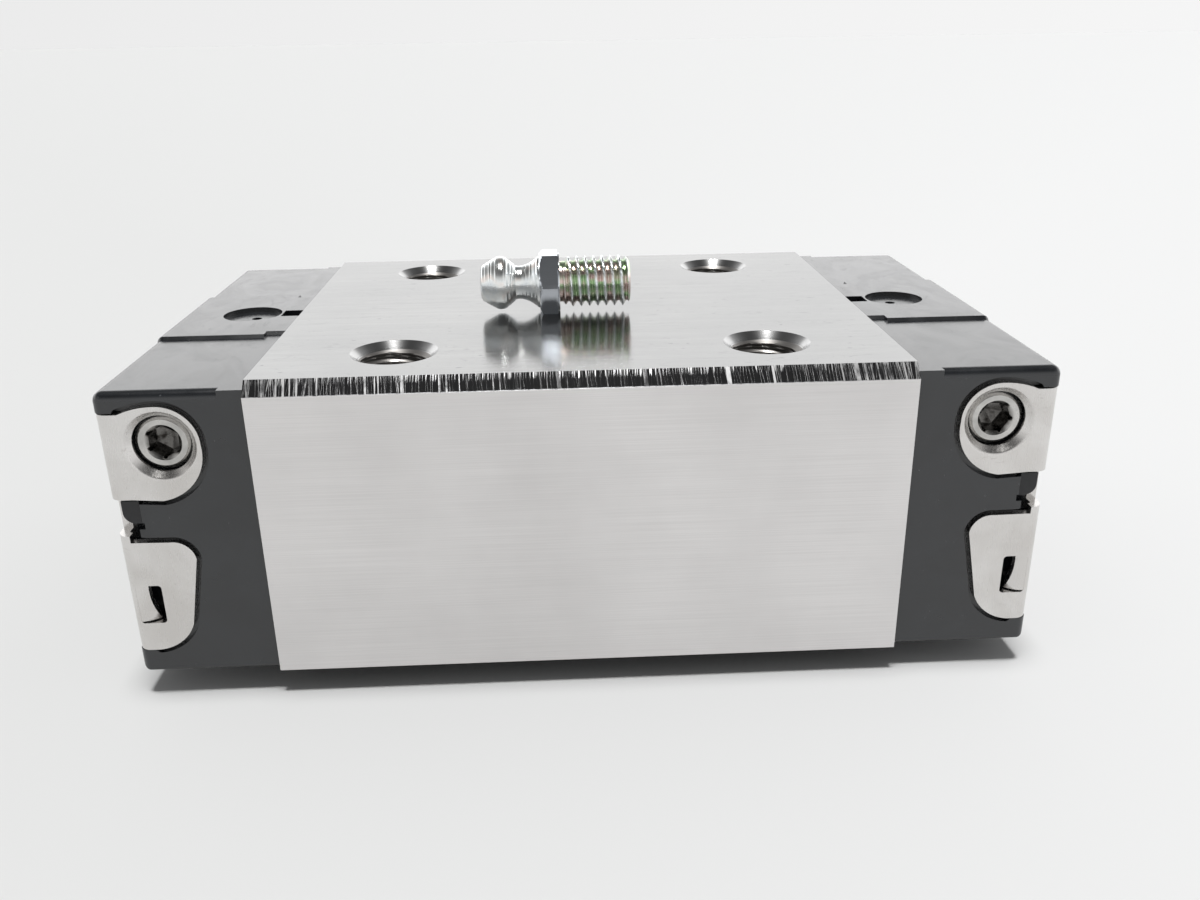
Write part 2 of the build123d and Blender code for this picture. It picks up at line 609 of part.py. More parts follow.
    # blind port in the raised middle, with its centre mark
    with BuildSketch(Plane.XY.offset(CAP_CROWN)):
        with Locations((TOP_PORT_X, 0)):
            Circle(TOP_PORT_RADIUS)
    extrude(amount=-TOP_PORT_DEPTH, mode=Mode.SUBTRACT)
    with BuildSketch(Plane.XY.offset(CAP_CROWN)):
        with Locations((TOP_PORT_X - 0.4, 0)):
            Circle(0.6)
    extrude(amount=-TOP_PORT_DEPTH - 0.7, mode=Mode.SUBTRACT)
write_both_ends("end_cap", end_cap.part)

# --- oil pads in the caps ----------------------------------------------------------------------
with BuildPart() as oil_pads:
    with BuildSketch(end_plane(PLATE_OUTER_X + GAP)):
        with Locations((PAD_Y, PAD_Z), (-PAD_Y, PAD_Z)):
            Rectangle(PAD_WIDTH, PAD_HEIGHT)
    extrude(amount=PAD_LENGTH)
write_both_ends("oil_pads", oil_pads.part)


# --- socket set screws in the side and end ports -----------------------------------------------
def set_screw(plane, length):
    """Set screw whose socket end lies in the plane and whose body runs behind it."""
    with BuildPart() as screw:
        with BuildSketch(plane):
            Circle(THREAD_RADIUS - GAP)
        extrude(amount=-length)
        with BuildSketch(plane):
            RegularPolygon(1.5, 6, major_radius=False)
        extrude(amount=-0.5 * length, mode=Mode.SUBTRACT)
    return screw.part


side_socket = Plane(origin=(PORT_X, TAB_FACE_Y - 0.9, PORT_Z), x_dir=(1, 0, 0), z_dir=(0, 1, 0))
side_plug = set_screw(side_socket, 5.0)
write_both_sides("side_port_plug", side_plug, "_right")
write_both_sides("side_port_plug", side_plug.mirror(Plane.YZ), "_left")

end_socket = Plane(origin=(SHEET_INNER_X, 0, PORT_Z), x_dir=(0, 1, 0), z_dir=(1, 0, 0))
write_both_ends("end_port_plug", set_screw(end_socket, 3.2))

# --- cap screws, two through each end plate into the steel -------------------------------------
with BuildPart() as cap_screws:
    with BuildSketch(end_plane(CAP_OUTER_X)):
        with Locations(*screw_points()):
            Circle(SCREW_RADIUS)
    extrude(amount=STEEL_HALF - SCREW_IN_STEEL - CAP_OUTER_X)
    with Locations(*[end_plane(CAP_OUTER_X - SHEET / 2) * Pos(y, z) for y, z in screw_points()]):
        Cone(SCREW_RADIUS, SCREW_HEAD_RADIUS, SHEET)
    with BuildSketch(end_plane(CAP_OUTER_X)):
        with Locations(*screw_points()):
            Circle(SCREW_HEAD_RADIUS)
    extrude(amount=SCREW_HEAD_X - CAP_OUTER_X)
    with BuildSketch(end_plane(SCREW_HEAD_X)):
        with Locations(*screw_points()):
            RegularPolygon(1.0, 6, major_radius=False)
    extrude(amount=-1.6, mode=Mode.SUBTRACT)
write_both_ends("cap_screws", cap_screws.part)

# --- loose grease nipple, lying on a flat of its hexagon on the steel --------------------------
axis_plane = Plane(origin=(0, NIPPLE_Y, NIPPLE_Z), x_dir=(1, 0, 0), z_dir=(0, -1, 0))
nipple_axis = Axis((0, NIPPLE_Y, NIPPLE_Z), (1, 0, 0))
with BuildPart() as nipple_body:
    with BuildSketch(axis_plane):
        with BuildLine():
            Polyline((NIPPLE_TIP_X, 0), (NIPPLE_TIP_X, 1.9), (-11.2, 2.2), (-9.5, 3.15))
            ThreePointArc((-9.5, 3.15), (-8.7, 3.15), (-8.0, 2.75))
            Line((-8.0, 2.75), (-7.2, 2.0))
            ThreePointArc((-7.2, 2.0), (-6.3, 2.05), (-4.65, 3.05))
            Polyline((-4.65, 3.05), (HEX_START_X, 3.05), (HEX_START_X, 2.9), (HEX_END_X, 2.9),
                     (HEX_END_X, THREAD_RADIUS), (5.75, THREAD_RADIUS), (NIPPLE_END_X, 2.45),
                     (NIPPLE_END_X, 0), (NIPPLE_TIP_X, 0))
        make_face()
    revolve(axis=nipple_axis)
    with BuildSketch(Plane(origin=(HEX_START_X, NIPPLE_Y, NIPPLE_Z), x_dir=(0, 1, 0), z_dir=(1, 0, 0))):
        RegularPolygon(NIPPLE_FLATS / 2, 6, major_radius=False)
    extrude(amount=HEX_END_X - HEX_START_X)
    with BuildSketch(axis_plane):
        with BuildLine():
            Polyline((NIPPLE_TIP_X, 0), (NIPPLE_TIP_X, 0.55), (SEAT_X, 0.55), (SEAT_X + 0.5, NIPPLE_BORE),
                     (SPRING_SEAT_X, NIPPLE_BORE), (SPRING_SEAT_X, 0.75), (NIPPLE_END_X, 0.75),
                     (NIPPLE_END_X, 0), close=True)
        make_face()
    revolve(axis=nipple_axis, mode=Mode.SUBTRACT)
write("nipple_body", nipple_body.part)

with BuildPart() as nipple_ball:
    with Locations((CHECK_BALL_X, NIPPLE_Y, NIPPLE_Z)):
        Sphere(CHECK_BALL_RADIUS)
write("nipple_ball", nipple_ball.part)

with BuildPart() as nipple_spring:
    spring_length = SPRING_SEAT_X - SPRING_START_X - 2 * SPRING_WIRE - 2 * GAP
    start = SPRING_START_X + SPRING_WIRE + GAP
    with BuildLine() as coil:
        Helix(spring_length / SPRING_TURNS, spring_length, SPRING_COIL_RADIUS,
              center=(start, NIPPLE_Y, NIPPLE_Z), direction=(1, 0, 0))
    with BuildSketch(Plane(origin=coil.line @ 0, z_dir=coil.line % 0)):
        Circle(SPRING_WIRE)
    sweep(path=coil.line, is_frenet=True)
write("nipple_spring", nipple_spring.part)
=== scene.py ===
"""Looks, stage and light for a linear guide carriage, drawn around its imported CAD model.

Lengths are in metres, written as millimetres times MM. X runs along the rail, Y across it, Z up.
"""

import json
import math

import bmesh
import bpy
from mathutils import Matrix, Vector


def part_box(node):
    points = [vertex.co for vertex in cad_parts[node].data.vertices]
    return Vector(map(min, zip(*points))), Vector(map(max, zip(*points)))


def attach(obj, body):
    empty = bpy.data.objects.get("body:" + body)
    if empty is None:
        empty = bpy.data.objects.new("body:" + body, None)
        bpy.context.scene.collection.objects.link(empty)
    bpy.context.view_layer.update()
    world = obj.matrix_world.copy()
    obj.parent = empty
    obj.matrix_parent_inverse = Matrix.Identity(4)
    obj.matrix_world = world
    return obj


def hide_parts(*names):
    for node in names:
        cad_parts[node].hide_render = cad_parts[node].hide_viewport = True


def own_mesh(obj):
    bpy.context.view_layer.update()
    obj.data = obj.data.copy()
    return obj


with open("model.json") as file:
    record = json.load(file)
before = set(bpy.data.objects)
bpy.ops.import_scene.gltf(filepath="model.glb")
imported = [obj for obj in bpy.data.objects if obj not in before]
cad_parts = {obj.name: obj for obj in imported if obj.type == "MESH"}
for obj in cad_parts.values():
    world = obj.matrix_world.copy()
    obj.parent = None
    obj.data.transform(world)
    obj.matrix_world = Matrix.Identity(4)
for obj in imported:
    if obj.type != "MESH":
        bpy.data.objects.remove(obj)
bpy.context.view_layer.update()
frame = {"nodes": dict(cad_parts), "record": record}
NODES = frame["nodes"]
MM = 0.001

# --- places taken from the frame -----------------------------------------------------------------
STEEL_LOW, STEEL_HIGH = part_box("runner_body")
TOP = STEEL_HIGH.z
STEEL_HALF = STEEL_HIGH.x
HALF_WIDTH = STEEL_HIGH.y
CHAMFER = 1.44 * MM
BOLT_MOUNT = next(m for m in frame["record"]["mounts"] if m["name"] == "table_bolts")
BOLT_SPACING = BOLT_MOUNT["dims"]["spacing_x_mm"] * MM
BOLT_RADIUS = BOLT_MOUNT["dims"]["hole_r_mm"] * MM
NIPPLE_LOW, NIPPLE_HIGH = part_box("nipple_body")
NIPPLE_AXIS = Vector((0, (NIPPLE_LOW.y + NIPPLE_HIGH.y) / 2,
                      (NIPPLE_LOW.z + NIPPLE_HIGH.z) / 2))
HEX_START = -4.5 * MM
HEX_END = -2.1 * MM

# --- camera ---------------------------------------------------------------------------------------
CAMERA_PLACE = Vector((-2.728, -130.142, 66.910)) * MM
CAMERA_DOWN = math.radians(21.549)
CAMERA_YAW = math.radians(2.347)
CAMERA_ROLL = math.radians(-0.883)
CAMERA_LENS = 31.89


def make_camera():
    forward = Vector((math.sin(CAMERA_YAW) * math.cos(CAMERA_DOWN),
                      math.cos(CAMERA_YAW) * math.cos(CAMERA_DOWN),
                      -math.sin(CAMERA_DOWN)))
    right = Vector((math.cos(CAMERA_YAW), -math.sin(CAMERA_YAW), 0))
    up = right.cross(forward)
    rolled_right = right * math.cos(CAMERA_ROLL) + up * math.sin(CAMERA_ROLL)
    rolled_up = up * math.cos(CAMERA_ROLL) - right * math.sin(CAMERA_ROLL)
    camera = bpy.data.objects.new("camera", bpy.data.cameras.new("camera"))
    bpy.context.scene.collection.objects.link(camera)
    camera.data.sensor_width = 36
    camera.data.lens = CAMERA_LENS
    camera.data.clip_start = 5 * MM
    turn = Matrix((rolled_right, rolled_up, -forward)).transposed()
    camera.matrix_world = Matrix.Translation(CAMERA_PLACE) @ turn.to_4x4()
    bpy.context.scene.camera = camera


# --- material tools -------------------------------------------------------------------------------
class Shader:
    """A node material being built: short calls that add a node and link its inputs."""

    def __init__(self, name, **settings):
        self.material = bpy.data.materials.new(name)
        self.material.use_nodes = True
        self.tree = self.material.node_tree
        self.bsdf = self.tree.nodes["Principled BSDF"]
        for key, value in settings.items():
            self.bsdf.inputs[key.replace("_", " ")].default_value = value
        self.coords = self.add("ShaderNodeTexCoord").outputs["Object"]

    def add(self, kind, **settings):
        node = self.tree.nodes.new(kind)
        for key, value in settings.items():
            setattr(node, key, value)
        return node

    def put(self, socket, value):
        if hasattr(value, "is_output"):
            self.tree.links.new(value, socket)
        else:
            socket.default_value = value

    def scaled(self, scale, offset=(0, 0, 0), source=None):
        node = self.add("ShaderNodeMapping")
        self.put(node.inputs["Vector"], source or self.coords)
        node.inputs["Scale"].default_value = scale
        node.inputs["Location"].default_value = offset
        return node.outputs["Vector"]

    def noise(self, scale, detail=3.0, roughness=0.55, distortion=0.0, offset=(0, 0, 0),
              source=None):
        """Noise; scale is in waves per metre, one number or one for each axis."""
        if not hasattr(scale, "__len__"):
            scale = (scale,) * 3
        node = self.add("ShaderNodeTexNoise")
        node.inputs["Scale"].default_value = 1
        node.inputs["Detail"].default_value = detail
        node.inputs["Roughness"].default_value = roughness
        node.inputs["Distortion"].default_value = distortion
        self.put(node.inputs["Vector"], self.scaled(scale, offset, source))
        return node.outputs["Fac"]

    def math(self, operation, a, b=0.0, c=0.0):
        node = self.add("ShaderNodeMath", operation=operation)
        for socket, value in zip(node.inputs, (a, b, c)):
            self.put(socket, value)
        return node.outputs[0]

    def span(self, value, low, high, to_low=0.0, to_high=1.0):
        """The value taken from low..high to to_low..to_high, held at both ends."""
        node = self.add("ShaderNodeMapRange")
        ends = {"From Min": low, "From Max": high, "To Min": to_low, "To Max": to_high}
        for name, number in ends.items():
            self.put(node.inputs[name], number)
        self.put(node.inputs["Value"], value)
        return node.outputs["Result"]

    def mix(self, factor, a, b):
        node = self.add("ShaderNodeMix", data_type="RGBA")
        self.put(node.inputs[0], factor)
        self.put(node.inputs[6], a if hasattr(a, "is_output") else (*a, 1))
        self.put(node.inputs[7], b if hasattr(b, "is_output") else (*b, 1))
        return node.outputs[2]

    def blend(self, factor, a, b):
        """Mix of two numbers."""
        node = self.add("ShaderNodeMix", data_type="FLOAT")
        for socket, value in zip((node.inputs[0], node.inputs[2], node.inputs[3]), (factor, a, b)):
            self.put(socket, value)
        return node.outputs[0]

    def bump(self, height, strength, distance, after=None):
        node = self.add("ShaderNodeBump")
        self.put(node.inputs["Strength"], strength)
        node.inputs["Distance"].default_value = distance
        self.put(node.inputs["Height"], height)
        if after is not None:
            self.put(node.inputs["Normal"], after)
        return node.outputs["Normal"]

    def set(self, name, value):
        self.put(self.bsdf.inputs[name], value)

    def axes(self, source=None):
        node = self.add("ShaderNodeSeparateXYZ")
        self.put(node.inputs[0], source or self.coords)
        return node.outputs

    def normal(self):
        return self.axes(self.add("ShaderNodeNewGeometry").outputs["True Normal"])


# layers of scratches across the chamfer: lean, seed, waves per metre, line width in the middle
# and at the ends of the block, and whether the lines keep to the top edge
SCRATCH_LAYERS = (
    (0.07, 0.0, 1500, 0.001, 0.013, False),
    (-0.13, 4.1, 1900, -0.006, 0.009, False),
    (0.22, 8.7, 1100, 0.003, 0.007, False),
    (-0.03, 2.9, 3100, 0.024, 0.024, True),
)


def scratches(s, x, y, z):
    """Bright marks on the chamfer, 0 to 1: closer together towards the ends, fringed at the top."""
    away = s.span(s.math("ABSOLUTE", x), 0.2 * STEEL_HALF, STEEL_HALF)
    height = s.span(z, TOP - CHAMFER, TOP)
    marks = s.span(height, 0.0, 0.07, 1.0, 0.0)
    for lean, seed, waves, middle, ends, fringe in SCRATCH_LAYERS:
        where = s.add("ShaderNodeCombineXYZ")
        s.put(where.inputs[0], s.math("MULTIPLY_ADD", z, lean, x))
        s.put(where.inputs[2], s.math("MULTIPLY_ADD", y, 0.02, seed))
        wave = s.noise((waves, 1, 1), detail=1, roughness=0.5, source=where.outputs[0])
        width = s.blend(away, middle, ends)
        if fringe:
            width = s.math("MULTIPLY", width, s.span(height, 0.55, 1.0))
        near = s.math("ABSOLUTE", s.math("SUBTRACT", wave, 0.5))
        line = s.span(s.math("SUBTRACT", width, near), -0.002, 0.005)
        marks = s.math("MAXIMUM", marks, line)
    worn = s.noise((1200, 700, 700), detail=3, offset=(7, 0, 0))
    return s.math("MULTIPLY", marks, s.span(worn, 0.3, 0.6, 0.4, 1.0))


def ground_steel():
    """Ground top, finely drawn sides, and mirror chamfers crossed by deburring scratches."""
    s = Shader("ground_steel", Metallic=1.0)
    _, ny, nz = s.normal()
    x, y, z = s.axes()
    # where each surface is: the top face, the chamfers, the sides and the mouths of the holes
    near_top = s.span(z, TOP - 0.2 * MM, TOP - 0.1 * MM)
    up = s.math("MULTIPLY", s.span(nz, 0.9, 0.98), near_top)
    outside = s.span(s.math("ABSOLUTE", y), HALF_WIDTH - 1.6 * MM, HALF_WIDTH - 1.5 * MM)
    tilt = s.math("MULTIPLY", s.math("ABSOLUTE", ny), nz)
    chamfer = s.math("MULTIPLY", s.span(tilt, 0.42, 0.48), outside)
    side = s.math("MULTIPLY", s.span(s.math("ABSOLUTE", ny), 0.9, 0.98), outside)
    mouth = s.math("SUBTRACT", s.span(nz, 0.5, 0.6), s.span(nz, 0.8, 0.9))
    mouth = s.math("MULTIPLY", mouth, s.span(z, TOP - 0.85 * MM, TOP - 0.8 * MM))

    lines = s.noise((60, 9000, 9000), detail=2)
    broad_lines = s.noise((25, 1800, 1800), detail=2, offset=(3, 1, 2))
    cloud = s.noise(45, detail=4)
    wander = s.noise((70, 420, 420), detail=3, distortion=0.6, offset=(5, 2, 0))
    hairline = s.span(s.math("ABSOLUTE", s.math("SUBTRACT", wander, 0.5)), 0.0, 0.005, 1.0, 0.0)
    speck = s.span(s.noise((900, 1500, 1500), detail=1, offset=(1, 8, 3)), 0.735, 0.75)

    marks = scratches(s, x, y, z)

    # the top is painted darker and the sides much lighter than the one steel they are: partly a
    # difference of finish, partly painted shade on the top and painted light on the sides
    top_colour = s.mix(s.span(cloud, 0.35, 0.65), (0.39, 0.39, 0.39), (0.44, 0.44, 0.436))
    top_colour = s.mix(s.span(broad_lines, 0.35, 0.65, 0.0, 0.35), top_colour, (0.36, 0.36, 0.36))
    side_colour = s.mix(s.span(cloud, 0.35, 0.65), (0.68, 0.665, 0.66), (0.76, 0.745, 0.74))
    side_colour = s.mix(s.span(lines, 0.35, 0.65, 0.0, 0.14), side_colour, (0.42, 0.41, 0.40))
    chamfer_colour = s.mix(marks, (0.38, 0.38, 0.39), (0.38, 0.38, 0.38))
    # painted shade: inside the holes, and on every face that is not top, side, chamfer or
    # countersink mouth, the steel is painted darker than the mouths
    shaded_bore_colour = s.mix(mouth, (0.26, 0.25, 0.24), (0.42, 0.42, 0.42))
    colour = s.mix(side, shaded_bore_colour, side_colour)
    colour = s.mix(up, colour, top_colour)
    colour = s.mix(chamfer, colour, chamfer_colour)
    flaws = s.math("MAXIMUM", s.math("MULTIPLY", hairline, 0.35), s.math("MULTIPLY", speck, 0.6))
    colour = s.mix(s.math("MULTIPLY", flaws, up), colour, (0.20, 0.20, 0.21))
    s.set("Base Color", colour)
    s.set("Specular Tint", s.mix(up, (1, 1, 1), (0.68, 0.68, 0.68)))

    # the ground top is dull seen face-on and glossy at a slant
    facing = s.add("ShaderNodeLayerWeight").outputs["Facing"]
    flat_rough = s.blend(s.span(facing, 0.45, 0.72), 0.62, s.span(lines, 0.3, 0.7, 0.11, 0.19))
    rough = s.blend(up, s.blend(mouth, 0.38, 0.19), flat_rough)
    rough = s.blend(side, rough, s.span(broad_lines, 0.3, 0.7, 0.34, 0.46))
    rough = s.blend(chamfer, rough, s.blend(marks, 0.06, 0.42))
    s.set("Roughness", rough)
    fine = s.bump(lines, s.blend(chamfer, 0.35, 0.05), 0.004 * MM)
    s.set("Normal", s.bump(broad_lines, s.blend(chamfer, 0.25, 0.03), 0.01 * MM, after=fine))
    return s.material


def cap_plastic():
    """Glossy black moulding: faint flow marks, handling smears and a fine grain."""
    s = Shader("cap_plastic", IOR=1.68)
    cloud = s.noise(160, detail=5, distortion=1.2)
    flow = s.noise((150, 80, 150), detail=3, distortion=2.5, offset=(4, 2, 7))
    grain = s.noise(7000, detail=2)
    smear = s.noise((420, 180, 420), detail=4, distortion=3.0, offset=(1, 5, 3))
    smear = s.span(smear, 0.60, 0.72)
    fleck = s.span(s.noise(2600, detail=1, offset=(3, 3, 9)), 0.77, 0.79)
    base = s.mix(s.span(cloud, 0.35, 0.65), (0.008, 0.009, 0.011), (0.014, 0.016, 0.019))
    s.set("Base Color", s.mix(s.math("MULTIPLY", fleck, 0.4), base, (0.16, 0.17, 0.18)))
    rough = s.span(flow, 0.35, 0.65, 0.19, 0.24)
    s.set("Roughness", s.math("MULTIPLY_ADD", smear, 0.05, rough))
    soft = s.bump(flow, 0.08, 0.03 * MM)
    s.set("Normal", s.bump(grain, 0.12, 0.01 * MM, after=soft))
    return s.material


def inner_plastic():
    s = Shader("inner_plastic", IOR=1.6)
    cloud = s.noise(300, detail=4)
    base = s.mix(s.span(cloud, 0.35, 0.65), (0.012, 0.013, 0.015), (0.024, 0.025, 0.028))
    s.set("Base Color", base)
    s.set("Roughness", s.span(cloud, 0.3, 0.7, 0.24, 0.34))
    s.set("Normal", s.bump(s.noise(6000), 0.2, 0.01 * MM))
    return s.material


def stainless():
    """Rolled stainless sheet: satin, with short hairlines and a few handling marks."""
    s = Shader("stainless", Metallic=1.0)
    lines = s.noise((7000, 7000, 260), detail=3)
    cloud = s.noise(140, detail=5, distortion=0.6)
    mark = s.noise((500, 500, 1700), detail=4, distortion=1.5, offset=(2, 7, 1))
    mark = s.span(mark, 0.67, 0.70)
    base = s.mix(s.span(cloud, 0.35, 0.65), (0.62, 0.60, 0.58), (0.72, 0.705, 0.69))
    s.set("Base Color", s.mix(s.math("MULTIPLY", mark, 0.35), base, (0.36, 0.34, 0.32)))
    s.set("Roughness", s.span(lines, 0.3, 0.7, 0.20, 0.30))
    s.set("Normal", s.bump(cloud, 0.25, 0.12 * MM, after=s.bump(lines, 0.15, 0.004 * MM)))
    return s.material


def screw_steel(name="plated_screw", colour=(0.60, 0.59, 0.57)):
    """Turned steel with a dull plated skin; painted shade makes it dark inside a socket, where a
    piece is marked for it.
    """
    s = Shader(name, Metallic=1.0)
    cloud = s.noise(500, detail=5)
    dark = tuple(0.72 * c for c in colour)
    socket_shade = s.add("ShaderNodeAttribute", attribute_name="socket_shade").outputs["Fac"]
    # painted shade: the marked inside of a socket is painted dark brown-grey, varied by noise
    socket_darkening = s.math("MULTIPLY", socket_shade, s.span(s.noise(1300, detail=3), 0.36, 0.5, 1.0, 0.75))
    base = s.mix(s.span(cloud, 0.35, 0.65), dark, colour)
    s.set("Base Color", s.mix(socket_darkening, base, (0.055, 0.050, 0.045)))
    s.set("Roughness", s.span(cloud, 0.3, 0.7, 0.16, 0.30))
    s.set("Normal", s.bump(s.noise(5000), 0.2, 0.006 * MM))
    return s.material


def ball_steel():
    s = Shader("ball_steel", Metallic=1.0)
    film = s.noise(700, detail=3)
    s.set("Base Color", s.mix(s.span(film, 0.35, 0.65), (0.70, 0.71, 0.73), (0.84, 0.85, 0.87)))
    s.set("Roughness", s.span(film, 0.3, 0.7, 0.05, 0.12))
    return s.material


def zinc_plate():
    """Bright zinc with a thin passivation film in random tints, green and pink patches in the
    thread roots, and the hexagon's flats painted darker and bluish: painted shade.
    """
    s = Shader("zinc_plate", Metallic=1.0)
    x, y, z = s.axes()
    out = s.math("SUBTRACT", z, NIPPLE_AXIS.z)
    aside = s.math("SUBTRACT", y, NIPPLE_AXIS.y)
    radius = s.math("SQRT", s.math("ADD", s.math("POWER", out, 2.0), s.math("POWER", aside, 2.0)))
    # where each surface is: the thread, its root, and the hexagon
    shank = s.span(x, HEX_END - 0.1 * MM, HEX_END)
    root = s.span(radius, 2.45 * MM, 2.95 * MM, 1.0, 0.0)
    past_head = s.span(x, HEX_START, HEX_START + 0.1 * MM)
    hexagonal = s.math("MULTIPLY", past_head, s.math("SUBTRACT", 1.0, shank))
    film = s.noise(420, detail=3, distortion=0.8)
    tint = s.mix(s.span(film, 0.40, 0.52), (0.80, 0.84, 0.86), (0.88, 0.90, 0.89))
    tint = s.mix(s.span(film, 0.55, 0.66), tint, (0.88, 0.82, 0.78))
    pair = s.mix(s.span(film, 0.45, 0.55), (0.35, 0.52, 0.24), (0.64, 0.49, 0.44))
    tint = s.mix(s.math("MULTIPLY", shank, s.math("MULTIPLY", root, 0.8)), tint, pair)
    # painted shade: the hexagon is painted darker and bluer than the rest of the same plating
    tint = s.mix(hexagonal, tint, (0.56, 0.59, 0.63))
    s.set("Base Color", tint)
    lathe = s.noise((5200, 60, 60), detail=2)
    sawn = s.noise((80, 80, 4200), detail=2, offset=(1, 2, 3))
    s.set("Roughness", s.blend(hexagonal, s.span(s.noise(1500), 0.3, 0.7, 0.16, 0.26), 0.12))
    head = s.span(x, HEX_START - 0.1 * MM, HEX_START, 1.0, 0.0)
    turned = s.bump(lathe, s.blend(hexagonal, s.blend(head, 0.3, 1.0), 0.0), 0.022 * MM)
    s.set("Normal", s.bump(sawn, s.blend(hexagonal, 0.0, 0.3), 0.008 * MM, after=turned))
    return s.material


def seal_rubber():
    s = Shader("seal_rubber")
    cloud = s.noise(400, detail=4)
    base = s.mix(s.span(cloud, 0.35, 0.65), (0.012, 0.012, 0.013), (0.028, 0.028, 0.03))
    s.set("Base Color", base)
    s.set("Roughness", s.span(cloud, 0.3, 0.7, 0.5, 0.65))
    s.set("Normal", s.bump(s.noise(5000), 0.3, 0.01 * MM))
    return s.material


def oil_felt():
    s = Shader("oil_felt", Sheen_Weight=0.3)
    fibres = s.noise(4000, detail=5, distortion=2)
    s.set("Base Color", s.mix(s.span(fibres, 0.35, 0.65), (0.42, 0.34, 0.18), (0.62, 0.54, 0.34)))
    s.set("Roughness", s.span(fibres, 0.3, 0.7, 0.8, 0.95))
    s.set("Normal", s.bump(fibres, 0.8, 0.08 * MM))
    return s.material


MATERIALS = {
    "ground_steel": ground_steel(),
    "bearing_steel": screw_steel("bearing_steel", (0.56, 0.56, 0.57)),
    "ball_steel": ball_steel(),
    "stainless": stainless(),
    "plated_screw": screw_steel(),
    "zinc_plate": zinc_plate(),
    "seal_rubber": seal_rubber(),
    "oil_felt": oil_felt(),
    "cap_plastic": cap_plastic(),
    "inner_plastic": inner_plastic(),
}


def dress_nodes():
    """Give every CAD node the material of its slot."""
    for entry in frame["record"]["subparts"]:
        mesh = NODES[entry["node"]].data
        mesh.materials.clear()
        mesh.materials.append(MATERIALS[entry["material_slot"]])


# --- mesh tools -----------------------------------------------------------------------------------
SHARP_ANGLE = math.radians(32)


def finish_mesh(name, mesh_builder, material, body, replaced=()):
    """Turn a bmesh into a piece that rides on a body, smooth but for its sharp edges."""
    bmesh.ops.recalc_face_normals(mesh_builder, faces=mesh_builder.faces)
    for edge in mesh_builder.edges:
        edge.smooth = edge.is_manifold and edge.calc_face_angle(0) < SHARP_ANGLE
    for face in mesh_builder.faces:
        face.smooth = True
    mesh = bpy.data.meshes.new(name)
    mesh_builder.to_mesh(mesh)
    mesh_builder.free()
    mesh.materials.append(material)
    piece = bpy.data.objects.new(name, mesh)
    bpy.context.scene.collection.objects.link(piece)
    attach(piece, body)
    if replaced:
        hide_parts(*replaced)
    return piece


def hexagon(flats):
    """Radius of a hexagon as a function of angle, with a corner at angle 0."""
    sixth = math.pi / 3
    return lambda angle: flats / 2 / math.cos((angle % sixth) - sixth / 2)


def add_turned(builder, rings, start, direction, across, segments=96, close=True):
    """Add a turned body: rings are (distance along the axis, radius or function of the angle).

    Radius 0 makes a point on the axis. Closed, the last ring is joined to the first.
    """
    direction = direction.normalized()
    across = across.normalized()
    other = direction.cross(across)
    rows = []
    for distance, radius in rings:
        centre = start + direction * distance
        if radius == 0:
            rows.append([builder.verts.new(centre)])
            continue
        row = []
        for i in range(segments):
            angle = 2 * math.pi * i / segments
            outward = across * math.cos(angle) + other * math.sin(angle)
            r = radius(angle) if callable(radius) else radius
            row.append(builder.verts.new(centre + outward * r))
        rows.append(row)
    pairs = list(zip(rows, rows[1:]))
    if close:
        pairs.append((rows[-1], rows[0]))
    for low, high in pairs:
        for i in range(segments):
            j = (i + 1) % segments
            if len(low) == 1 and len(high) == 1:
                break
            if len(low) == 1:
                builder.faces.new((low[0], high[i], high[j]))
            elif len(high) == 1:
                builder.faces.new((low[i], high[0], low[j]))
            else:
                builder.faces.new((low[i], high[i], high[j], low[j]))


def thread_height(turns):
    """Height of a V thread, 0 at the root and 1 at the crest, for a place counted in turns."""
    phase = abs((turns % 1.0) - 0.5) * 2
    return min(max((phase - 0.14) / 0.72, 0.0), 1.0)


# --- tapped holes ---------------------------------------------------------------------------------
BOLT_PITCH = 1.25 * MM
BOLT_CREST = 3.35 * MM
BOLT_MOUTH_RADIUS = BOLT_RADIUS + 0.7 * MM
BOLT_THREAD_END = 11.3 * MM
BOLT_SEGMENTS = 72
THREAD_STEPS = 14  # rings in one turn of a thread


def bolt_thread(index, x, y):
    """The thread inside one tapped hole, just clear of its wall and cut back by the countersink."""
    builder = bmesh.new()
    outer = BOLT_RADIUS - 0.01 * MM
    first = BOLT_MOUTH_RADIUS - BOLT_RADIUS + 0.02 * MM
    steps = round((BOLT_THREAD_END - first) / (BOLT_PITCH / THREAD_STEPS))

    def wall(depth):
        def radius(angle):
            height = thread_height(depth / BOLT_PITCH - angle / (2 * math.pi))
            cut = outer - 0.03 * MM - height * (outer - BOLT_CREST)
            return min(max(cut, BOLT_MOUTH_RADIUS - depth), outer - 0.005 * MM)
        return radius

    depths = [first + (BOLT_THREAD_END - first) * i / steps for i in range(steps + 1)]
    rings = [(depth, wall(depth)) for depth in depths]
    rings += [(depths[-1], outer), (depths[0], outer)]
    add_turned(builder, rings, Vector((x, y, TOP)), Vector((0, 0, -1)), Vector((1, 0, 0)),
               BOLT_SEGMENTS)
    finish_mesh(f"bolt_thread_{index}", builder, MATERIALS["ground_steel"], "carriage")


# --- grease nipple --------------------------------------------------------------------------------
NIPPLE_THREAD = 3.0 * MM
NIPPLE_ROOT = 2.42 * MM
NIPPLE_PITCH = 1.0 * MM
NIPPLE_FLATS = 7.0 * MM
NIPPLE_BORE = 0.8 * MM
NIPPLE_BORE_DEPTH = 6  # mm, from the shank's end
RIDGE_STEP = 0.045 * MM
RIDGE_HEIGHT = 0.010 * MM
# profile of the head in mm, as (place along the axis, radius)
NIPPLE_MOUTH = ((-10.3, 0), (-10.3, 0.52), (-11.3, 0.55), (-11.42, 0.75), (-11.46, 0.95),
                (-11.46, 1.85))
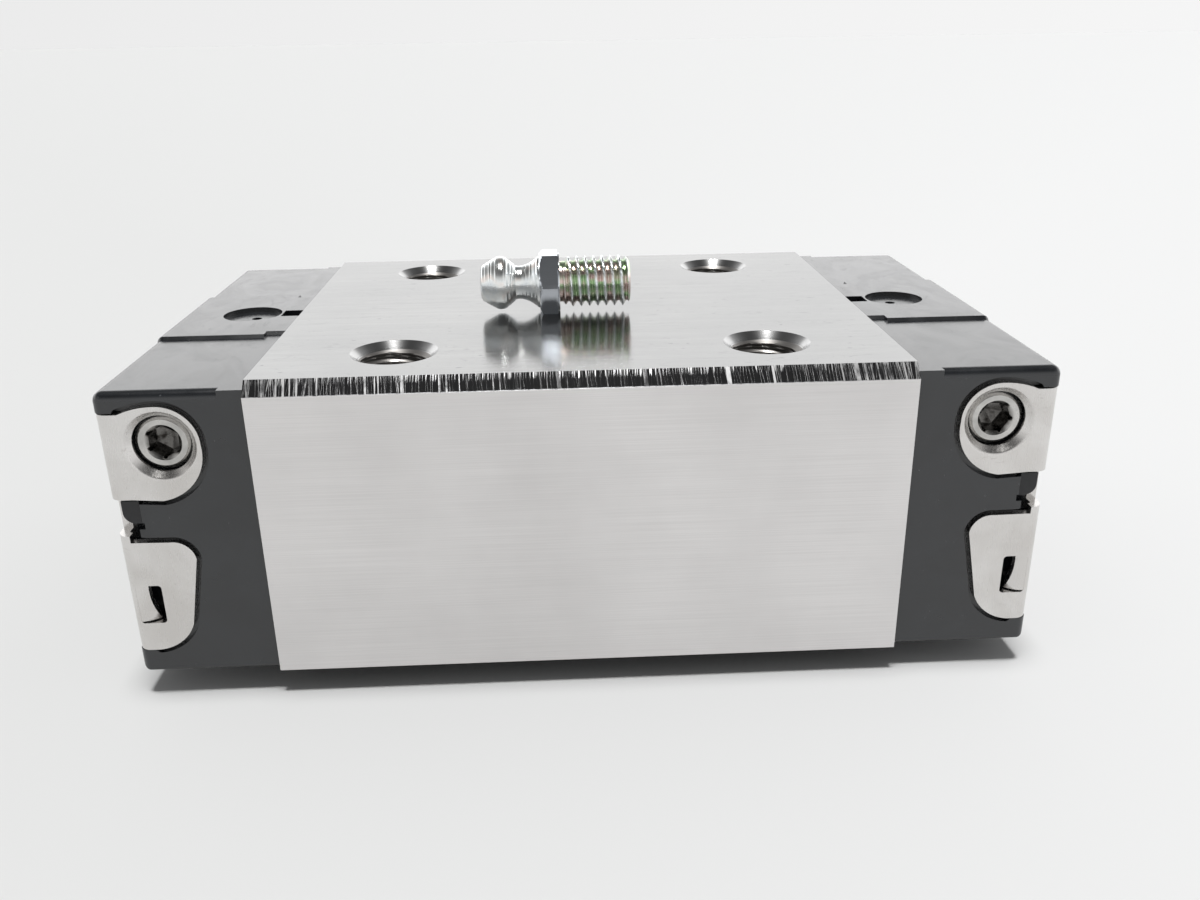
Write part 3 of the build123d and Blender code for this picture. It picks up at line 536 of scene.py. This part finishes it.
# and on from the mouth in arcs: where each ends, how far it bows out, and its steps
HEAD_ARCS = (
    ((-11.2, 2.2), 0.06, 4),
    ((-9.55, 3.12), 0.02, 4),
    ((-9.05, 3.16), 0.02, 3),
    ((-8.25, 2.80), 0.10, 6),
    ((-7.3, 2.02), 0.03, 4),
    ((-6.6, 2.0), -0.03, 3),
    ((-4.75, 3.0), -0.16, 8),
)
HEX_CHAMFER_STEPS = (0, 0.12, 0.24, 0.36, 0.48)  # mm from the hexagon's start

SPRING_WIRE = 0.15 * MM
SPRING_TURNS = 6
SPRING_STEPS = 28  # rings in one turn
SPRING_SIDES = 10


def arc_rings(start, end, bulge, steps):
    """Rings from start to end, bowed outward by bulge (inward if negative), all in millimetres."""
    rings = []
    for i in range(1, steps + 1):
        t = i / steps
        bow = 4 * bulge * t * (1 - t)
        place = start[0] + (end[0] - start[0]) * t
        radius = start[1] + (end[1] - start[1]) * t + bow
        rings.append((place * MM, radius * MM))
    return rings


def ridged(rings):
    """The same profile with fine tool ridges, resampled along its length."""
    fine = []
    place = rings[0][0]
    while place < rings[-1][0]:
        for (low, low_radius), (high, high_radius) in zip(rings, rings[1:]):
            if low <= place <= high and high > low:
                radius = low_radius + (high_radius - low_radius) * (place - low) / (high - low)
        turns = place / MM
        ridge = math.sin(15.5 * turns) + 0.5 * math.sin(26.0 * turns + 1.0)
        fine.append((place, radius + RIDGE_HEIGHT * (ridge - 1.5)))
        place += RIDGE_STEP
    return fine


def grease_nipple():
    """Turned head, chamfered hexagon and real helical thread, drawn from tip to shank end."""
    hex_end = HEX_END / MM
    shank_end = NIPPLE_HIGH.x / MM
    corner = hexagon(NIPPLE_FLATS)

    def chamfered(limit):
        return lambda angle: min(corner(angle), limit)

    def thread(x):
        run_in = min(max((x - hex_end - 0.35) / 0.5, 0), 1)
        limit = min(NIPPLE_THREAD, NIPPLE_THREAD - (x - shank_end + 0.55) * MM)

        def radius(angle):
            height = thread_height((x + 0.24) * MM / NIPPLE_PITCH - angle / (2 * math.pi))
            return min(NIPPLE_ROOT + height * run_in * (NIPPLE_THREAD - NIPPLE_ROOT), limit)
        return radius

    rings = [(place * MM, radius * MM) for place, radius in NIPPLE_MOUTH]
    head = [rings[-1]]
    start = NIPPLE_MOUTH[-1]
    for end, bulge, steps in HEAD_ARCS:
        head += arc_rings(start, end, bulge, steps)
        start = end
    rings += ridged(head)
    rings += [(-4.62 * MM, 3.05 * MM), (HEX_START, 3.05 * MM), (HEX_START, 3.42 * MM)]
    for step in HEX_CHAMFER_STEPS:
        rings.append((HEX_START + step * MM, chamfered((3.46 + step * 1.6) * MM)))
    rings += [(HEX_END - 0.32 * MM, chamfered(4.2 * MM)), (HEX_END - 0.2 * MM, chamfered(4.0 * MM)),
              (HEX_END - 0.16 * MM, chamfered(3.44 * MM)), (HEX_END, 3.42 * MM),
              (HEX_END, 2.5 * MM)]
    steps = round((shank_end - hex_end) * THREAD_STEPS)
    places = [hex_end + (shank_end - hex_end) * i / steps for i in range(steps + 1)]
    rings += [(x * MM, thread(x)) for x in places]
    bore_end = (shank_end - NIPPLE_BORE_DEPTH) * MM
    rings += [(shank_end * MM, NIPPLE_BORE), (bore_end, 0.95 * NIPPLE_BORE), (bore_end, 0)]
    builder = bmesh.new()
    add_turned(builder, rings, NIPPLE_AXIS, Vector((1, 0, 0)), Vector((0, 1, 0)), close=False)
    finish_mesh("grease_nipple", builder, MATERIALS["zinc_plate"], "nipple",
                ("nipple_body",))


def check_spring():
    """Coil spring behind the check ball."""
    low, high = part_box("nipple_spring")
    coil = (high.y - low.y) / 2 - SPRING_WIRE
    length = high.x - low.x - 2 * SPRING_WIRE
    sweep = 2 * math.pi * SPRING_TURNS
    steps = SPRING_STEPS * SPRING_TURNS
    around = [2 * math.pi * k / SPRING_SIDES for k in range(SPRING_SIDES)]
    builder = bmesh.new()
    rows = []
    for i in range(steps + 1):
        angle = sweep * i / steps
        outward = Vector((0, math.cos(angle), math.sin(angle)))
        along = Vector((length / sweep, -coil * math.sin(angle), coil * math.cos(angle)))
        aside = along.cross(outward).normalized()
        place = low.x + SPRING_WIRE + length * i / steps
        centre = Vector((place, NIPPLE_AXIS.y, NIPPLE_AXIS.z)) + outward * coil
        rim = [centre + (outward * math.cos(t) + aside * math.sin(t)) * SPRING_WIRE for t in around]
        rows.append([builder.verts.new(point) for point in rim])
    for near, far in zip(rows, rows[1:]):
        for k in range(SPRING_SIDES):
            following = (k + 1) % SPRING_SIDES
            builder.faces.new((near[k], near[following], far[following], far[k]))
    builder.faces.new(rows[0])
    builder.faces.new(rows[-1])
    spring = finish_mesh("check_spring", builder, MATERIALS["ball_steel"], "nipple",
                         ("nipple_spring",))
    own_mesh(spring)


# --- socket screws --------------------------------------------------------------------------------
SCREW_RADIUS = 2.94 * MM
SCREW_SOCKET = 3.0 * MM  # across the flats
SCREW_FACE_RADIUS = 2.5 * MM
SCREW_CHAMFER = 0.45 * MM
SCREW_POINT = 0.3 * MM
SCREW_CLEARANCE = 0.02 * MM
SOCKET_MOUTH = 0.62 * SCREW_SOCKET
SOCKET_LEAD = 0.084 * SCREW_SOCKET + 0.1 * MM
EDGE_BREAK = 0.04 * MM
SCREW_SEGMENTS = 72


def socket_screw(name, node, face, inward, across, length):
    """Set screw with a hexagon socket: face is the centre of its socket end."""
    builder = bmesh.new()
    socket_shade = builder.verts.layers.float.new("socket_shade")
    hexagonal = hexagon(SCREW_SOCKET)
    depth = min(length * 0.55, SCREW_SOCKET * 0.9)
    rings = [(depth + 0.25 * SCREW_SOCKET, 0), (depth, lambda angle: hexagonal(angle) * 0.97),
             (depth, hexagonal), (SOCKET_LEAD, hexagonal), (EDGE_BREAK, SOCKET_MOUTH),
             (0, SOCKET_MOUTH + 0.05 * MM), (0, SCREW_FACE_RADIUS - 0.05 * MM),
             (EDGE_BREAK, SCREW_FACE_RADIUS), (SCREW_CHAMFER, SCREW_RADIUS),
             (length - SCREW_POINT, SCREW_RADIUS), (length, SCREW_RADIUS - SCREW_POINT),
             (length, 0)]
    add_turned(builder, rings, face, inward, across, SCREW_SEGMENTS, close=False)
    # mark the inside of the socket, past its edge, for painted shade
    for vertex in builder.verts:
        offset = vertex.co - face
        deep = offset.dot(inward)
        if deep > 0.09 * MM and (offset - inward * deep).length < SOCKET_MOUTH - 0.02 * MM:
            vertex[socket_shade] = 1.0
    finish_mesh(name, builder, MATERIALS["plated_screw"], "carriage", (node,))


def port_plugs():
    """Set screws in the four side ports and the two end ports."""
    for side_name, side in (("front", -1), ("rear", 1)):
        for end_name, end in (("left", -1), ("right", 1)):
            node = f"side_port_plug_{side_name}_{end_name}"
            low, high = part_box(node)
            face_y = low.y if side < 0 else high.y
            face = Vector(((low.x + high.x) / 2, face_y, (low.z + high.z) / 2))
            # each screw has stopped at its own angle
            turn = Matrix.Rotation(math.radians(17 * end + 11 * side), 3, "Y")
            socket_screw(f"set_screw_{side_name}_{end_name}", node, face, Vector((0, -side, 0)),
                         turn @ Vector((1, 0, 0)), high.y - low.y - SCREW_CLEARANCE)
    for end_name, end in (("left", -1), ("right", 1)):
        node = f"end_port_plug_{end_name}"
        low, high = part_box(node)
        face = Vector((low.x if end < 0 else high.x, 0, (low.z + high.z) / 2))
        socket_screw(f"end_set_screw_{end_name}", node, face, Vector((-end, 0, 0)),
                     Vector((0, 1, 0.3)), high.x - low.x - SCREW_CLEARANCE)


# --- stage and light ------------------------------------------------------------------------------
FLOOR_HALF = 8.0  # m
# floor colour at the left and at the right: painted light, lighter to the right as if more light
# came from that side
FLOOR_LEFT = (0.80, 0.805, 0.805)
FLOOR_RIGHT = (0.89, 0.895, 0.90)
SIDEWAYS = (-0.50, 0.55)  # sideways share of a direction at which each tone is reached
NEAR_FLOOR = 0.13  # m
SKY_GAIN = 1.03  # evens out floor and sky where they meet

SUN_STRENGTH = 2.52
SUN_SPREAD = math.radians(14)
SUN_COLOUR = (1.0, 0.998, 0.99)
SUN_FROM = Vector((0.0, -0.04, 1.0))

# grey levels of the reflected room by height, as (height, half the level): a ramp holds up to 1
ROOM_STRENGTH = 2.0
BEHIND = ((0.0, 0.42), (0.06, 0.42), (0.13, 0.92), (0.38, 0.92), (0.52, 0.30), (0.75, 0.08),
          (1.0, 0.04))
AHEAD = ((0.0, 0.40), (0.15, 0.46), (0.45, 0.36), (0.66, 0.12), (0.85, 0.03), (1.0, 0.02))
FILL = ((0.0, 0.11), (1.0, 0.075))
TURN = (-0.25, 0.25)  # from the wall ahead to the one behind
HORIZON = (0.03, 0.07)  # from the low sky to the walls


def make_stage():
    """Plain pale floor, painted a little lighter to the right: painted light."""
    mesh = bpy.data.meshes.new("floor")
    corners = ((-1, -1), (1, -1), (1, 1), (-1, 1))
    mesh.from_pydata([(x * FLOOR_HALF, y * FLOOR_HALF, 0) for x, y in corners], [], [(0, 1, 2, 3)])
    floor = bpy.data.objects.new("floor", mesh)
    bpy.context.scene.collection.objects.link(floor)
    s = Shader("floor", Roughness=0.9, Specular_IOR_Level=0.1)
    x, y, _ = s.axes()
    # far out the tone depends only on the direction from the object, as the sky's does
    distance = s.math("SQRT", s.math("ADD", s.math("MULTIPLY", x, x), s.math("MULTIPLY", y, y)))
    aside = s.math("DIVIDE", x, s.math("MAXIMUM", distance, NEAR_FLOOR))
    # painted light: the floor's colour grows lighter towards the right
    s.set("Base Color", s.mix(s.span(aside, *SIDEWAYS), FLOOR_LEFT, FLOOR_RIGHT))
    mesh.materials.append(s.material)


def make_lights():
    """Main light almost straight overhead, leaning slightly to the front."""
    sun = bpy.data.objects.new("ceiling_lamp", bpy.data.lights.new("ceiling_lamp", "SUN"))
    sun.data.energy = SUN_STRENGTH
    sun.data.angle = SUN_SPREAD
    sun.data.color = SUN_COLOUR
    sun.rotation_euler = SUN_FROM.to_track_quat("Z", "Y").to_euler()
    bpy.context.scene.collection.objects.link(sun)


def make_world():
    """Pale room: a bright wall low behind, a dimmer one ahead, dark overhead."""
    world = bpy.data.worlds.new("room")
    bpy.context.scene.world = world
    world.use_nodes = True
    tree = world.node_tree
    background = tree.nodes["Background"]
    split = tree.nodes.new("ShaderNodeSeparateXYZ")
    tree.links.new(tree.nodes.new("ShaderNodeTexCoord").outputs["Generated"], split.inputs[0])
    sideways, depth, height = split.outputs

    def ramp(stops):
        node = tree.nodes.new("ShaderNodeValToRGB")
        elements = node.color_ramp.elements
        elements[0].position = stops[0][0]
        elements[1].position = stops[-1][0]
        for stop in stops[1:-1]:
            elements.new(stop[0])
        for element, (_, level) in zip(elements, stops):
            element.color = (level, level, level, 1)
        tree.links.new(height, node.inputs[0])
        return node.outputs[0]

    def span(source, ends, levels=(0.0, 1.0)):
        node = tree.nodes.new("ShaderNodeMapRange")
        for name, number in zip(("From Min", "From Max", "To Min", "To Max"), (*ends, *levels)):
            node.inputs[name].default_value = number
        tree.links.new(source, node.inputs["Value"])
        return node.outputs["Result"]

    def mix(factor, a, b):
        node = tree.nodes.new("ShaderNodeMix")
        node.data_type = "RGBA"
        for socket, source in zip((node.inputs[0], node.inputs[6], node.inputs[7]), (factor, a, b)):
            tree.links.new(source, socket)
        return node.outputs[2]

    levels = [SKY_GAIN * tone[1] / ROOM_STRENGTH for tone in (FLOOR_LEFT, FLOOR_RIGHT)]
    low_sky = span(sideways, SIDEWAYS, levels)
    walls = mix(span(depth, TURN), ramp(AHEAD), ramp(BEHIND))
    reflected = mix(span(height, HORIZON), low_sky, walls)
    # the plain backdrop is what is looked at; the walls show only in reflections
    path = tree.nodes.new("ShaderNodeLightPath")
    room = mix(path.outputs["Is Diffuse Ray"], reflected, ramp(FILL))
    room = mix(path.outputs["Is Camera Ray"], room, low_sky)
    tree.links.new(room, background.inputs[0])
    background.inputs[1].default_value = ROOM_STRENGTH


make_camera()
make_world()
make_stage()
make_lights()
dress_nodes()
for number, (bolt_x, bolt_y) in enumerate(((-1, -1), (1, -1), (1, 1), (-1, 1)), 1):
    bolt_thread(number, bolt_x * BOLT_SPACING / 2, bolt_y * BOLT_SPACING / 2)
grease_nipple()
check_spring()
port_plugs()

bpy.context.scene.view_settings.view_transform = "Standard"
bpy.context.scene.cycles.caustics_reflective = False
